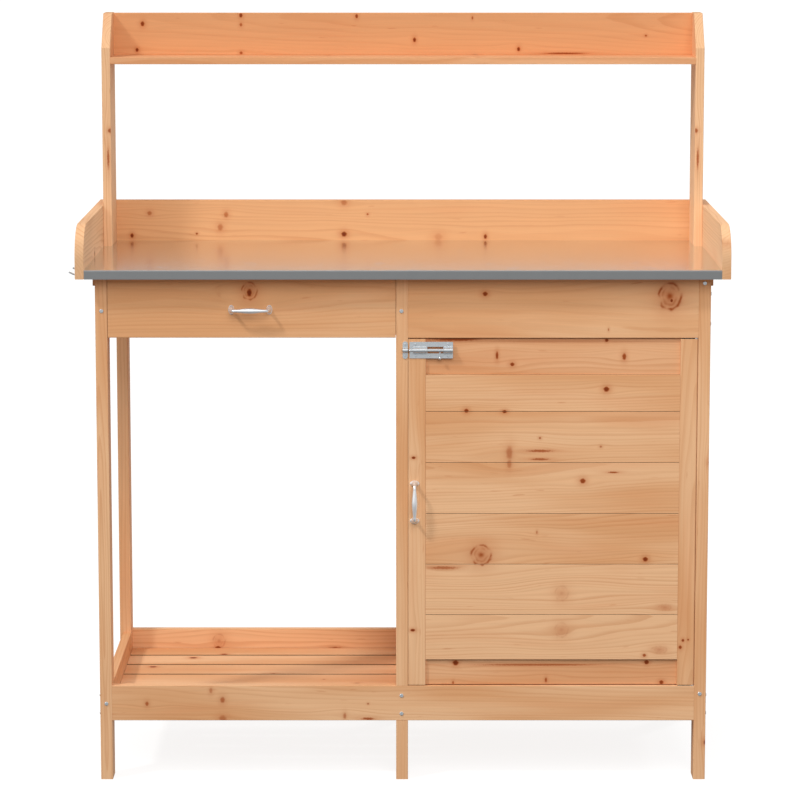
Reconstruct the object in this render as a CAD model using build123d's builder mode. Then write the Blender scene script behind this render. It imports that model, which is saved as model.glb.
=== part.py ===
from build123d import *
import os

# A potting bench: a fir frame with a drawer, an open shelf and a cupboard, a
# steel-faced worktop and a raised shelf. Millimetres. X runs along the front,
# Y towards the wall, Z up. The origin is on the floor, under the middle.

# ---------------------------------------------------------------- driving sizes
BENCH_W = 1080.0                      # over the two side boards
BENCH_D = 500.0                       # worktop front to back
WORK_Z = 868.0                        # working surface above the floor
TOP_Z = 1273.0                        # top of the posts
BOARD_T = 15.0                        # common board thickness
THIN_T = 10.0                         # slats, cladding and battens
EDGE_R = 1.0                          # eased edge of every board
THIN_R = 0.5                          # and of the thinnest ones
CLAD_R = 0.8                          # and of the door's cladding
JOINT_GAP = 0.4                       # open joint between cladding boards
FREE = 0.5                            # room beside a loose board or a sliding part
RUNNING_FIT = 0.06                    # room beside a turning metal part

LEG_W = 20.0                          # along X
LEG_D = 45.0                          # along Y
LEG_OUT = 510.0                       # outer face of the end legs
LEG_IN = LEG_OUT - LEG_W              # their inner face
MID_LEFT = -11.5                      # left face of the middle legs
MID_RIGHT = MID_LEFT + LEG_W
FRONT_Y = -BENCH_D / 2 + 30.0         # front plane of legs, rails and door
BACK_Y = 242.0                        # rear plane of the back legs
LEG_FRONT_BACK = FRONT_Y + LEG_D      # rear face of the front legs
LEG_BACK_FRONT = BACK_Y - LEG_D       # front face of the back legs

FRONT_RAIL_T = 18.0                   # front rail, fascia, door and drawer front
RAIL_LOW = 102.0                      # lower rails
RAIL_TOP = 162.0
HIGH_RAIL_LOW = 748.0                 # upper rails
SIDE_SET_IN = 5.0                     # side rails lie this far inside the legs' outer face

TOP_BOARD_T = 15.0                    # worktop with its steel skin
SHEET_T = 1.0
TOP_UNDER = WORK_Z - TOP_BOARD_T      # underside of the worktop, and top of the legs
BATTEN_T = 19.0                       # battens that hold the worktop, between the legs
BATTEN_W = 36.0
BATTEN_LOW = TOP_UNDER - BATTEN_T
TOP_HALF_W = BENCH_W / 2 - BOARD_T    # worktop fits between the side boards
SPLASH_TOP = 940.0                    # top of the side boards and back board
SPLASH_Y = BENCH_D / 2 - BOARD_T      # front face of the back board

POST_D = 100.0
POST_FRONT = SPLASH_Y - POST_D
POST_BEVEL_D = 50.0                   # sloping front corner of each post
POST_BEVEL_H = 59.0
SHELF_T = 12.0
SHELF_Z = 1186.0                      # underside of the raised shelf

SLAT_Z = 117.0                        # underside of the shelf slats
SLAT_PITCH = 75.0
SLAT_GAP = 8.0
SLAT_FIRST = -132.0                   # centre of the gap behind the first slat
SLAT_GAPS = 5

FASCIA_LOW = 752.0
DRAWER_LOW = 752.5
DRAWER_TOP = 850.0
DRAWER_GAP = 0.6
DRAWER_SIDE_T = 12.0
DRAWER_DEPTH = 380.0                  # length of the drawer's sides
BOTTOM_UP = 4.0                       # drawer's bottom above its sides' lower edge
BOTTOM_T = 5.0
BOX_SCREW_IN = 21.0                   # screws into the drawer's back, from its edges

DOOR_LOW = RAIL_TOP + 1.5
DOOR_TOP = FASCIA_LOW - 1.5
DOOR_GAP = 0.4                        # at each side of the door
DOOR_LEFT = MID_RIGHT + DOOR_GAP
PIVOT_IN = 3.0                        # hinge axis behind the front face and in from the edge
PIVOT_X = LEG_IN - DOOR_GAP - PIVOT_IN
PIVOT_Y = FRONT_Y + PIVOT_IN
DOOR_RIGHT = PIVOT_X + PIVOT_IN
STILE_W = 29.0
STILE_LIP = 15.0                      # ledge behind the cladding
CLAD_T = 5.0                          # cladding boards on the door
CLAD_W = 86.2
CLAD_TOP = 690.5
CLAD_LOW = 207.0
CLAD_TOP_W = 62.0                     # narrower board at the top
CLAD_BOARDS = 5                       # boards below it
RAIL_LAP = 12.0                       # the door's rails reach behind the cladding

LEAF_T = 1.5                          # pivot hinge leaf
LEAF_L = 26.0
LEAF_W = 11.0
LEAF_INSET = 0.7                      # leaf's outer edges inside the door's
PIN_R = 1.5
PIN_L = 12.0                          # length of pin inside the door
PIN_PLAY = 0.3                        # play of the pin in the wood
COLLAR_R = 2.6

BOLT_Z = 732.0                        # axis of the barrel bolt
PLATE_T = 1.2
PLATE_CORNER = 1.5
ROD_R = 2.5
GUIDE_R = ROD_R + 0.3                 # inside of the bolt's guides
GUIDE_WALL = 1.4
ROD_Y = FRONT_Y - PLATE_T - GUIDE_R   # axis of the bolt's rod
KEEPER_GAP = 0.4
KEEPER_LEFT = -0.6
KEEPER_RIGHT = 7.9
BOLT_SCREW_DZ = 9.6                   # the bolt's screws above and below its axis

SCREW_IN = 10.5                       # screws into the sides, in from the leg's outer face
SCREW_R = 1.6
SCREW_L = 24.0
HEAD_R = 3.4
HEAD_T = 1.4
HEAD_ROUND = 0.9
CROSS_L = 3.6                         # cross recess in the head
CROSS_W = 0.9
SMALL_SCREW = 0.62                    # the bolt's screws, beside the frame's
HANDLE_SCREW = 0.8                    # the handles' screws, beside the frame's

os.makedirs("parts", exist_ok=True)


# ---------------------------------------------------------------- shared makers
def save(piece, label):
    """Label a finished piece and write it."""
    piece.part.label = label
    export_step(piece.part, f"parts/{label}.step")


def box_between(low, high):
    """Add a straight board between two corners to the current part."""
    with BuildSketch(Plane.XY.offset(low[2])) as outline:
        with Locations(((low[0] + high[0]) / 2, (low[1] + high[1]) / 2)):
            Rectangle(high[0] - low[0], high[1] - low[1])
    extrude(outline.sketch, amount=high[2] - low[2])


def boards(label, grain, *corner_pairs, radius=EDGE_R):
    """Write one node of straight boards, each with its long edges eased."""
    with BuildPart() as piece:
        for low, high in corner_pairs:
            box_between(low, high)
        fillet(piece.edges().filter_by(grain), radius)
    save(piece, label)


def cladding(start, end, width):
    """Heights of the boards that clad a panel from start up to end, joints open."""
    count = round((end - start) / width)
    pitch = (end - start) / count
    return [(start + i * pitch, start + (i + 1) * pitch - JOINT_GAP) for i in range(count)]


# ---------------------------------------------------------------- legs
def leg(label, left, front, notches=()):
    """An upright; notches are (front, back, low, high) stretches cut for rails."""
    with BuildPart() as piece:
        box_between((left, front, 0), (left + LEG_W, front + LEG_D, TOP_UNDER))
        fillet(piece.edges().filter_by(Axis.Z), EDGE_R)
        for notch_front, notch_back, low, high in notches:
            with BuildSketch(Plane.XY.offset(low)):
                with Locations((left + LEG_W / 2, (notch_front + notch_back) / 2)):
                    Rectangle(LEG_W, notch_back - notch_front)
            extrude(amount=high - low, mode=Mode.SUBTRACT)
    save(piece, label)


BACK_RAIL_FRONT = BACK_Y - BOARD_T
front_notch = (FRONT_Y, FRONT_Y + FRONT_RAIL_T, RAIL_LOW, RAIL_TOP)
back_notches = [
    (BACK_RAIL_FRONT, BACK_Y, RAIL_LOW, RAIL_TOP),
    (BACK_RAIL_FRONT, BACK_Y, HIGH_RAIL_LOW, TOP_UNDER),
]
leg("leg_front_left", -LEG_OUT, FRONT_Y)
leg("leg_front_middle", MID_LEFT, FRONT_Y, [front_notch])
leg("leg_front_right", LEG_IN, FRONT_Y)
leg("leg_back_left", -LEG_OUT, LEG_BACK_FRONT)
leg("leg_back_middle", MID_LEFT, LEG_BACK_FRONT, back_notches)
leg("leg_back_right", LEG_IN, LEG_BACK_FRONT)


# ---------------------------------------------------------------- hinge outline
def leaf_outline():
    """Outline of one pivot hinge leaf, set about the pin."""
    middle_x = PIVOT_X + PIVOT_IN - LEAF_INSET - LEAF_L / 2
    middle_y = PIVOT_Y - PIVOT_IN + LEAF_INSET + LEAF_W / 2
    with Locations((middle_x, middle_y)):
        Rectangle(LEAF_L, LEAF_W)


def leaf_pocket(low):
    """Cut the mortise of one hinge leaf into the current part."""
    with BuildSketch(Plane.XY.offset(low)) as pocket:
        leaf_outline()
    extrude(pocket.sketch, amount=LEAF_T, mode=Mode.SUBTRACT)


# ---------------------------------------------------------------- rails
RAIL_FRONT_BACK = FRONT_Y + FRONT_RAIL_T

with BuildPart() as lower_front_rail:
    box_between((-LEG_IN, FRONT_Y, RAIL_LOW), (LEG_IN, RAIL_FRONT_BACK, RAIL_TOP))
    fillet(lower_front_rail.edges().filter_by(Axis.X), EDGE_R)
    leaf_pocket(RAIL_TOP - LEAF_T)
save(lower_front_rail, "lower_front_rail")

with BuildPart() as fascia:
    box_between((MID_RIGHT, FRONT_Y, FASCIA_LOW), (LEG_IN, RAIL_FRONT_BACK, TOP_UNDER))
    fillet(fascia.edges().filter_by(Axis.X), EDGE_R)
    leaf_pocket(FASCIA_LOW)
save(fascia, "fascia")

SIDE_RAIL_OUT = LEG_OUT - SIDE_SET_IN
rail_span = (LEG_FRONT_BACK, LEG_BACK_FRONT)
for level, low, high, back_high in (("lower", RAIL_LOW, RAIL_TOP, RAIL_TOP),
                                    ("upper", HIGH_RAIL_LOW, BATTEN_LOW, TOP_UNDER)):
    boards(f"{level}_side_rail_left", Axis.Y,
           ((-SIDE_RAIL_OUT, rail_span[0], low), (-LEG_IN, rail_span[1], high)))
    boards(f"{level}_side_rail_right", Axis.Y,
           ((LEG_IN, rail_span[0], low), (SIDE_RAIL_OUT, rail_span[1], high)))
    boards(f"{level}_middle_rail", Axis.Y,
           ((MID_LEFT, rail_span[0], low), (MID_LEFT + BOARD_T, rail_span[1], high)))
    boards(f"{level}_back_rail", Axis.X,
           ((-LEG_IN, BACK_RAIL_FRONT, low), (LEG_IN, BACK_Y, back_high)))


# ---------------------------------------------------------------- slatted floors
FLOOR_FRONT = RAIL_FRONT_BACK + 1.0
FLOOR_BACK = BACK_RAIL_FRONT - 1.0


def slats(left, right, gap):
    """Corners of the floor boards from front rail to back rail, split by gaps."""
    middles = [SLAT_FIRST + i * SLAT_PITCH for i in range(SLAT_GAPS)]
    starts = [FLOOR_FRONT] + [middle + gap / 2 for middle in middles]
    ends = [middle - gap / 2 for middle in middles] + [FLOOR_BACK]
    return [((left, start, SLAT_Z), (right, end, SLAT_Z + THIN_T)) for start, end in zip(starts, ends)]


boards("shelf_slats", Axis.X, *slats(-LEG_IN + FREE, MID_LEFT - FREE, SLAT_GAP))
boards("cabinet_floor", Axis.X, *slats(MID_RIGHT + FREE, LEG_IN - FREE, 2 * FREE))

cleat_spans = [
    (-LEG_IN, -LEG_IN + BOARD_T, FLOOR_FRONT, FLOOR_BACK),
    (MID_LEFT - BOARD_T, MID_LEFT, FLOOR_FRONT, FLOOR_BACK),
    (MID_LEFT + BOARD_T, MID_LEFT + 2 * BOARD_T, LEG_FRONT_BACK, LEG_BACK_FRONT),
    (LEG_IN - BOARD_T, LEG_IN, FLOOR_FRONT, FLOOR_BACK),
]
boards("floor_cleats", Axis.Y,
       *[((x0, y0, RAIL_LOW), (x1, y1, SLAT_Z)) for x0, x1, y0, y1 in cleat_spans])


# ---------------------------------------------------------------- cupboard walls
wall_rows = cladding(RAIL_TOP, HIGH_RAIL_LOW, CLAD_W)
WALL_IN = SIDE_RAIL_OUT - THIN_T

boards("cabinet_divider", Axis.Y,
       *[((MID_LEFT, rail_span[0], low), (MID_LEFT + THIN_T, rail_span[1], high)) for low, high in wall_rows])
boards("cabinet_side", Axis.Y,
       *[((WALL_IN, rail_span[0], low), (SIDE_RAIL_OUT, rail_span[1], high)) for low, high in wall_rows])
boards("cabinet_back", Axis.X,
       *[((MID_RIGHT, BACK_RAIL_FRONT, low), (LEG_IN, BACK_RAIL_FRONT + THIN_T, high))
         for low, high in wall_rows])

batten_spans = [
    (MID_LEFT + THIN_T, MID_RIGHT, LEG_FRONT_BACK, LEG_FRONT_BACK + BOARD_T),
    (MID_LEFT + THIN_T, MID_RIGHT, LEG_BACK_FRONT - BOARD_T, LEG_BACK_FRONT),
    (WALL_IN - BOARD_T, WALL_IN, LEG_FRONT_BACK, LEG_FRONT_BACK + BOARD_T),
    (WALL_IN - BOARD_T, WALL_IN, LEG_BACK_FRONT - BOARD_T, LEG_BACK_FRONT),
    (MID_RIGHT, MID_RIGHT + BOARD_T, BACK_RAIL_FRONT - BOARD_T, BACK_RAIL_FRONT),
    (LEG_IN - BOARD_T, LEG_IN, BACK_RAIL_FRONT - BOARD_T, BACK_RAIL_FRONT),
]
boards("cabinet_battens", Axis.Z,
       *[((x0, y0, RAIL_TOP), (x1, y1, HIGH_RAIL_LOW)) for x0, x1, y0, y1 in batten_spans])

STOP_W = 7.0
STOP_FRONT = RAIL_FRONT_BACK + FREE
boards("door_stop", Axis.Z,
       ((MID_RIGHT, STOP_FRONT, RAIL_TOP), (MID_RIGHT + STOP_W, STOP_FRONT + THIN_T, FASCIA_LOW)))


# ---------------------------------------------------------------- worktop
boards("worktop_board", Axis.X,
       ((-TOP_HALF_W, -BENCH_D / 2 + SHEET_T, TOP_UNDER), (TOP_HALF_W, SPLASH_Y, WORK_Z - SHEET_T)))

with BuildPart() as worktop_sheet:
    box_between((-TOP_HALF_W, -BENCH_D / 2, WORK_Z - SHEET_T), (TOP_HALF_W, SPLASH_Y, WORK_Z))
    box_between((-TOP_HALF_W, -BENCH_D / 2, TOP_UNDER), (TOP_HALF_W, -BENCH_D / 2 + SHEET_T, WORK_Z))
    bend = worktop_sheet.edges().filter_by(Axis.X).sort_by(Axis.Z).group_by(Axis.Z)[-1].sort_by(Axis.Y)[0]
    fillet(bend, 1.5 * SHEET_T)
save(worktop_sheet, "worktop_sheet")

boards("worktop_battens", Axis.Y,
       *[((middle - BATTEN_W / 2, rail_span[0], BATTEN_LOW), (middle + BATTEN_W / 2, rail_span[1], TOP_UNDER))
         for middle in (SCREW_IN - LEG_OUT, (MID_LEFT + MID_RIGHT) / 2, LEG_OUT - SCREW_IN)])

SPLASH_LOW = TOP_UNDER
boards("back_board", Axis.X,
       ((-TOP_HALF_W, SPLASH_Y, SPLASH_LOW), (TOP_HALF_W, BENCH_D / 2, SPLASH_TOP)))

CORNER_L = 62.0                       # rounded front corner of a side board, along Y
CORNER_H = 55.0                       # and along Z


def side_board(label, inner_x):
    """A side board of the worktop, its upper front corner an ellipse."""
    front = -BENCH_D / 2
    back = BENCH_D / 2
    corner = (front + CORNER_L, SPLASH_TOP - CORNER_H)
    with BuildPart() as piece:
        with BuildSketch(Plane.YZ.offset(inner_x)):
            with BuildLine():
                EllipticalCenterArc(corner, CORNER_L, CORNER_H, start_angle=90, arc_size=90)
                Polyline((front, corner[1]), (front, SPLASH_LOW), (back, SPLASH_LOW),
                         (back, SPLASH_TOP), (corner[0], SPLASH_TOP))
            make_face()
        extrude(amount=BOARD_T)
        fillet(piece.faces().filter_by(Axis.X).edges(), EDGE_R)
    save(piece, label)


side_board("side_board_left", -BENCH_W / 2)
side_board("side_board_right", TOP_HALF_W)


# ---------------------------------------------------------------- posts and raised shelf
def post(label, inner_x):
    """An upright board for the raised shelf, its upper front corner cut away."""
    with BuildPart() as piece:
        with BuildSketch(Plane.YZ.offset(inner_x)) as profile:
            with BuildLine():
                Polyline((POST_FRONT, WORK_Z), (SPLASH_Y, WORK_Z), (SPLASH_Y, TOP_Z),
                         (POST_FRONT + POST_BEVEL_D, TOP_Z),
                         (POST_FRONT, TOP_Z - POST_BEVEL_H), close=True)
            make_face()
            fillet(profile.vertices().group_by(Axis.Y)[-1].sort_by(Axis.X)[0], 4 * EDGE_R)
        extrude(amount=BOARD_T)
        fillet(piece.faces().filter_by(Axis.X).edges(), EDGE_R)
    save(piece, label)


POST_IN = TOP_HALF_W - BOARD_T
post("post_left", -TOP_HALF_W)
post("post_right", POST_IN)

SHELF_TOP = SHELF_Z + SHELF_T
boards("upper_shelf", Axis.X, ((-POST_IN, POST_FRONT, SHELF_Z), (POST_IN, SPLASH_Y, SHELF_TOP)))
boards("upper_back_board", Axis.X,
       ((-POST_IN, SPLASH_Y - BOARD_T, SHELF_TOP), (POST_IN, SPLASH_Y, TOP_Z - EDGE_R)))


# ---------------------------------------------------------------- tool hooks
HOOK_R = 1.4
HOOK_Z = SPLASH_LOW + 4.0
HOOK_IN = 12.0                        # screwed this deep into the side board
HOOK_OUT = 5.0                        # level stretch outside the board
HOOK_RUN = 8.5                        # rising stretch, along X
HOOK_RISE = 4.0
HOOK_BEND = 4.0
HOOK_TIP = 1.0                        # rounding of the tip
HOOK_FIRST = -BENCH_D / 2 + 40.0
HOOK_PITCH = 66.0

with BuildPart() as tool_hooks:
    board_face = -BENCH_W / 2
    for i in range(3):
        y = HOOK_FIRST + i * HOOK_PITCH
        with BuildLine():
            FilletPolyline((board_face + HOOK_IN, y, HOOK_Z),
                           (board_face - HOOK_OUT, y, HOOK_Z),
                           (board_face - HOOK_OUT - HOOK_RUN, y, HOOK_Z + HOOK_RISE),
                           radius=HOOK_BEND)
        with BuildSketch(Plane(origin=(board_face + HOOK_IN, y, HOOK_Z), z_dir=(-1, 0, 0))):
            Circle(HOOK_R)
        sweep()
    tips = tool_hooks.faces().filter_by(GeomType.PLANE).group_by(Axis.X)[0]
    fillet(tips.edges(), HOOK_TIP)
save(tool_hooks, "tool_hooks")


# ---------------------------------------------------------------- screws
with BuildPart() as screw:
    with BuildSketch():
        Circle(SCREW_R)
    extrude(amount=-SCREW_L)
    with BuildSketch():
        Circle(HEAD_R)
    extrude(amount=HEAD_T)
    fillet(screw.edges().group_by(Axis.Z)[-1], HEAD_ROUND)
    with BuildSketch(Plane.XY.offset(HEAD_T)):
        Rectangle(CROSS_L, CROSS_W)
        Rectangle(CROSS_W, CROSS_L)
    extrude(amount=-CROSS_W, mode=Mode.SUBTRACT)


def facing(direction, *points):
    """Seats for screws whose heads face one way."""
    return [Plane(origin=point, z_dir=direction) for point in points]


def screw_set(label, *groups):
    """Write one node of screws; a group is their seats and their size beside the frame's screws."""
    with BuildPart() as piece:
        for seats, size in groups:
            with Locations(*[seat.location for seat in seats]):
                add(screw.part.scale(size))
    save(piece, label)


LOW_SCREWS = (RAIL_LOW + 12.0, RAIL_TOP - 17.0)
LOW_LEFT_SCREW = 131.0
LOW_RIGHT_SCREW = 148.0
HIGH_LEFT_SCREW = 797.0
HIGH_RIGHT_SCREW = BATTEN_LOW + BATTEN_T / 2
BACK_SCREWS = LOW_SCREWS + (HIGH_RAIL_LOW + 22.0, TOP_UNDER - 33.0)
FASCIA_SCREWS = (FASCIA_LOW + 23.0, TOP_UNDER - 28.0)
SIDE_BOARD_SCREWS = (-180.0, 0.0, 215.0)
POST_SCREWS = (POST_FRONT + 25.0, POST_FRONT + 75.0)
SHELF_SCREWS = (POST_FRONT + 20.0, POST_FRONT + 55.0)
UPPER_BACK_SCREWS = (SHELF_TOP + 17.0, TOP_Z - 18.0)

front_rail_y = FRONT_Y + FRONT_RAIL_T / 2
back_rail_y = BACK_Y - BOARD_T / 2
side_rail_x = LEG_OUT - SCREW_IN
middle_x = MID_LEFT + 9.0
seats = facing((0, -1, 0),
               (-side_rail_x, FRONT_Y, HIGH_LEFT_SCREW), (-side_rail_x, FRONT_Y, LOW_LEFT_SCREW),
               (side_rail_x, FRONT_Y, HIGH_RIGHT_SCREW), (side_rail_x, FRONT_Y, LOW_RIGHT_SCREW),
               (middle_x, FRONT_Y, HIGH_LEFT_SCREW),
               *[(middle_x, FRONT_Y, z) for z in LOW_SCREWS])
seats += facing((0, 1, 0), *[(x, BACK_Y, z)
                             for x in (-side_rail_x, middle_x, side_rail_x) for z in BACK_SCREWS])
seats += facing((1, 0, 0), *[(LEG_OUT, front_rail_y, z) for z in FASCIA_SCREWS])
for way in (-1, 1):
    seats += facing((way, 0, 0),
                    *[(way * LEG_OUT, front_rail_y, z) for z in LOW_SCREWS],
                    *[(way * LEG_OUT, back_rail_y, z) for z in BACK_SCREWS],
                    *[(way * BENCH_W / 2, y, WORK_Z - TOP_BOARD_T / 2) for y in SIDE_BOARD_SCREWS],
                    *[(way * BENCH_W / 2, y, SPLASH_TOP - 20.0) for y in POST_SCREWS],
                    *[(way * TOP_HALF_W, y, SHELF_Z + SHELF_T / 2) for y in SHELF_SCREWS],
                    *[(way * TOP_HALF_W, SPLASH_Y - BOARD_T / 2, z) for z in UPPER_BACK_SCREWS])
keeper_seats = facing((0, -1, 0), *[((KEEPER_LEFT + KEEPER_RIGHT) / 2, FRONT_Y - GUIDE_WALL, BOLT_Z + dz)
                                    for dz in (-BOLT_SCREW_DZ, BOLT_SCREW_DZ)])
screw_set("frame_screws", (seats, 1.0), (keeper_seats, SMALL_SCREW))


# ---------------------------------------------------------------- door
CLAD_BACK = FRONT_Y + CLAD_T
PANEL_LEFT = DOOR_LEFT + STILE_W
PANEL_RIGHT = DOOR_RIGHT - STILE_W


def stile_body(edge_x, inward):
    """Add a stile to the current part: a post, and a ledge behind the cladding."""
    inner = edge_x + inward * STILE_W
    lip = inner + inward * STILE_LIP
    box_between((min(edge_x, inner), FRONT_Y, DOOR_LOW), (max(edge_x, inner), RAIL_FRONT_BACK, DOOR_TOP))
    box_between((min(inner, lip), CLAD_BACK, CLAD_LOW + RAIL_LAP),
                (max(inner, lip), RAIL_FRONT_BACK, CLAD_TOP - RAIL_LAP))


with BuildPart() as door_stile_left:
    stile_body(DOOR_LEFT, 1)
    front_edges = door_stile_left.edges().filter_by(Axis.Z).group_by(Axis.Y)[0].sort_by(Axis.X)
    fillet(front_edges[0], THIN_R)
    inner_edge = door_stile_left.edges().filter_by(Axis.Z).group_by(Axis.Y)[0].sort_by(Axis.X)[-1]
    fillet(inner_edge, EDGE_R)
save(door_stile_left, "door_stile_left")

with BuildPart() as door_stile_right:
    stile_body(DOOR_RIGHT, -1)
    front_edges = door_stile_right.edges().filter_by(Axis.Z).group_by(Axis.Y)[0].sort_by(Axis.X)
    fillet(front_edges[-1], PIVOT_IN - 0.01)
    inner_edge = door_stile_right.edges().filter_by(Axis.Z).group_by(Axis.Y)[0].sort_by(Axis.X)[0]
    fillet(inner_edge, EDGE_R)
    leaf_pocket(DOOR_LOW)
    leaf_pocket(DOOR_TOP - LEAF_T)
    with BuildSketch(Plane.XY.offset(DOOR_LOW)):
        with Locations((PIVOT_X, PIVOT_Y)):
            Circle(PIN_R + PIN_PLAY)
    extrude(amount=PIN_L + 1, mode=Mode.SUBTRACT)
    with BuildSketch(Plane.XY.offset(DOOR_TOP)):
        with Locations((PIVOT_X, PIVOT_Y)):
            Circle(PIN_R + PIN_PLAY)
    extrude(amount=-PIN_L - 1, mode=Mode.SUBTRACT)
save(door_stile_right, "door_stile_right")

boards("door_top_rail", Axis.X,
       ((PANEL_LEFT, CLAD_BACK, CLAD_TOP - RAIL_LAP), (PANEL_RIGHT, RAIL_FRONT_BACK, DOOR_TOP)),
       radius=THIN_R)
boards("door_bottom_rail", Axis.X,
       ((PANEL_LEFT, CLAD_BACK, DOOR_LOW), (PANEL_RIGHT, RAIL_FRONT_BACK, CLAD_LOW + RAIL_LAP)),
       radius=THIN_R)

plank_tops = [CLAD_TOP] + [CLAD_TOP - CLAD_TOP_W - i * CLAD_W for i in range(CLAD_BOARDS)]
plank_lows = [top + JOINT_GAP for top in plank_tops[1:]] + [CLAD_LOW]
boards("door_planks", Axis.X,
       *[((PANEL_LEFT, FRONT_Y, low), (PANEL_RIGHT, CLAD_BACK, top))
         for low, top in zip(plank_lows, plank_tops)], radius=CLAD_R)


# ---------------------------------------------------------------- pivot hinges
def hinge_leaves(label, lows, hole_r):
    """Two leaves, one at each height, each drilled for the pin."""
    with BuildPart() as piece:
        for low in lows:
            with BuildSketch(Plane.XY.offset(low)):
                leaf_outline()
                with Locations((PIVOT_X, PIVOT_Y)):
                    Circle(hole_r, mode=Mode.SUBTRACT)
            extrude(amount=LEAF_T)
    save(piece, label)


hinge_leaves("hinge_frame_leaves", (RAIL_TOP - LEAF_T, FASCIA_LOW), PIN_R)
hinge_leaves("hinge_door_leaves", (DOOR_LOW, DOOR_TOP - LEAF_T), PIN_R + RUNNING_FIT)

with BuildPart() as hinge_pins:
    for seat, way in ((RAIL_TOP, 1), (FASCIA_LOW, -1)):
        with BuildSketch(Plane.XY.offset(seat - way * LEAF_T)):
            with Locations((PIVOT_X, PIVOT_Y)):
                Circle(PIN_R)
        extrude(amount=way * (2 * LEAF_T + PIN_L))
        with BuildSketch(Plane.XY.offset(seat)):
            with Locations((PIVOT_X, PIVOT_Y)):
                Circle(COLLAR_R)
        extrude(amount=way * (LEAF_T - RUNNING_FIT))
save(hinge_pins, "hinge_pins")


# ---------------------------------------------------------------- bow handles
HANDLE_FOOT = 31.5                    # foot centres, either side of the middle
FOOT_R = (4.8, 7.8)                   # foot pad, along and across the handle
PAD_T = 1.2
PAD_STEP = 0.3                        # the flare starts this far inside the pad's edge
WAIST_R = (3.3, 4.1)                  # the flare half way up
WAIST_OUT = 5.0
NECK_R = 2.6
NECK_OUT = 9.0
ARM_LEAN = 0.4                        # the feet lean inward, one step at each section
ARM_BEND = 6.0
HANDLE_OUT = 20.0                     # the bar's axis in front of the wood
BAR_END = 23.0
BAR_QUARTER_R = 3.9
BAR_MID_R = 4.7


def bow_handle(label, base):
    """A cast pull on a base plane: two flared feet, bent arms and a swelling bar."""
    with BuildPart() as piece:
        for way in (-1, 1):
            with BuildSketch(base):
                with Locations((way * HANDLE_FOOT, 0)):
                    Ellipse(*FOOT_R)
            extrude(amount=PAD_T)
            with BuildSketch(base.offset(PAD_T)):
                with Locations((way * HANDLE_FOOT, 0)):
                    Ellipse(FOOT_R[0] - PAD_STEP, FOOT_R[1] - PAD_STEP)
            with BuildSketch(base.offset(WAIST_OUT)):
                with Locations((way * (HANDLE_FOOT - ARM_LEAN), 0)):
                    Ellipse(*WAIST_R)
            with BuildSketch(base.offset(NECK_OUT)):
                with Locations((way * (HANDLE_FOOT - 2 * ARM_LEAN), 0)):
                    Circle(NECK_R)
            loft()
            arm_start = base.from_local_coords((way * (HANDLE_FOOT - 2 * ARM_LEAN), 0, NECK_OUT))
            arm_bend = base.from_local_coords((way * (HANDLE_FOOT - 4 * ARM_LEAN), 0, HANDLE_OUT))
            arm_end = base.from_local_coords((way * (BAR_END - 1.0), 0, HANDLE_OUT))
            with BuildLine() as arm:
                FilletPolyline(arm_start, arm_bend, arm_end, radius=ARM_BEND)
            with BuildSketch(Plane(origin=arm.line @ 0, z_dir=arm.line % 0)):
                Circle(NECK_R)
            sweep(path=arm.line)
        side = Plane(origin=base.from_local_coords((0, 0, HANDLE_OUT)), x_dir=base.x_dir, z_dir=base.y_dir)
        with BuildSketch(side):
            with BuildLine():
                Spline((-BAR_END, NECK_R), (-BAR_END / 2, BAR_QUARTER_R), (0, BAR_MID_R),
                       (BAR_END / 2, BAR_QUARTER_R), (BAR_END, NECK_R))
                Polyline((BAR_END, NECK_R), (BAR_END, 0), (-BAR_END, 0), (-BAR_END, NECK_R))
            make_face()
        revolve(axis=Axis(side.origin, side.x_dir))
    save(piece, label)


DRAWER_LEFT = -LEG_IN + DRAWER_GAP
DRAWER_RIGHT = MID_LEFT - DRAWER_GAP
DRAWER_HANDLE_X = (DRAWER_LEFT + DRAWER_RIGHT) / 2 - 2.0
DRAWER_HANDLE_Z = 799.5
DOOR_HANDLE_X = 19.5
DOOR_HANDLE_Z = 476.0
bow_handle("drawer_handle",
           Plane(origin=(DRAWER_HANDLE_X, FRONT_Y, DRAWER_HANDLE_Z), x_dir=(1, 0, 0), z_dir=(0, -1, 0)))
bow_handle("door_handle",
           Plane(origin=(DOOR_HANDLE_X, FRONT_Y, DOOR_HANDLE_Z), x_dir=(0, 0, 1), z_dir=(0, -1, 0)))


# ---------------------------------------------------------------- barrel bolt
PLATE_LEFT = 11.0
PLATE_RIGHT = 83.0
PLATE_H = 27.5
WINDOW_LEFT = 40.5
WINDOW_RIGHT = 67.0
WINDOW_H = 11.0
GUIDE_SPANS = ((17.0, 39.5), (67.5, 82.5))
GUIDE_FLANGE = 6.6                    # half height of a guide over its flanges
GUIDE_ROUND = 1.3                     # rolled front edge of the flanges
KEEPER_FLANGE = 14.5
KEEPER_ROUND = 3.9                    # round ends of the keeper
front_face = Plane(origin=(0, FRONT_Y, BOLT_Z), x_dir=(1, 0, 0), z_dir=(0, -1, 0))

with BuildPart() as bolt_plate:
    with BuildSketch(front_face):
        with Locations(((PLATE_LEFT + PLATE_RIGHT) / 2, 0)):
            RectangleRounded(PLATE_RIGHT - PLATE_LEFT, PLATE_H, PLATE_CORNER)
        with Locations(((WINDOW_LEFT + WINDOW_RIGHT) / 2, 0)):
            Rectangle(WINDOW_RIGHT - WINDOW_LEFT, WINDOW_H, mode=Mode.SUBTRACT)
    extrude(amount=PLATE_T)
save(bolt_plate, "bolt_plate")


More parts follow.
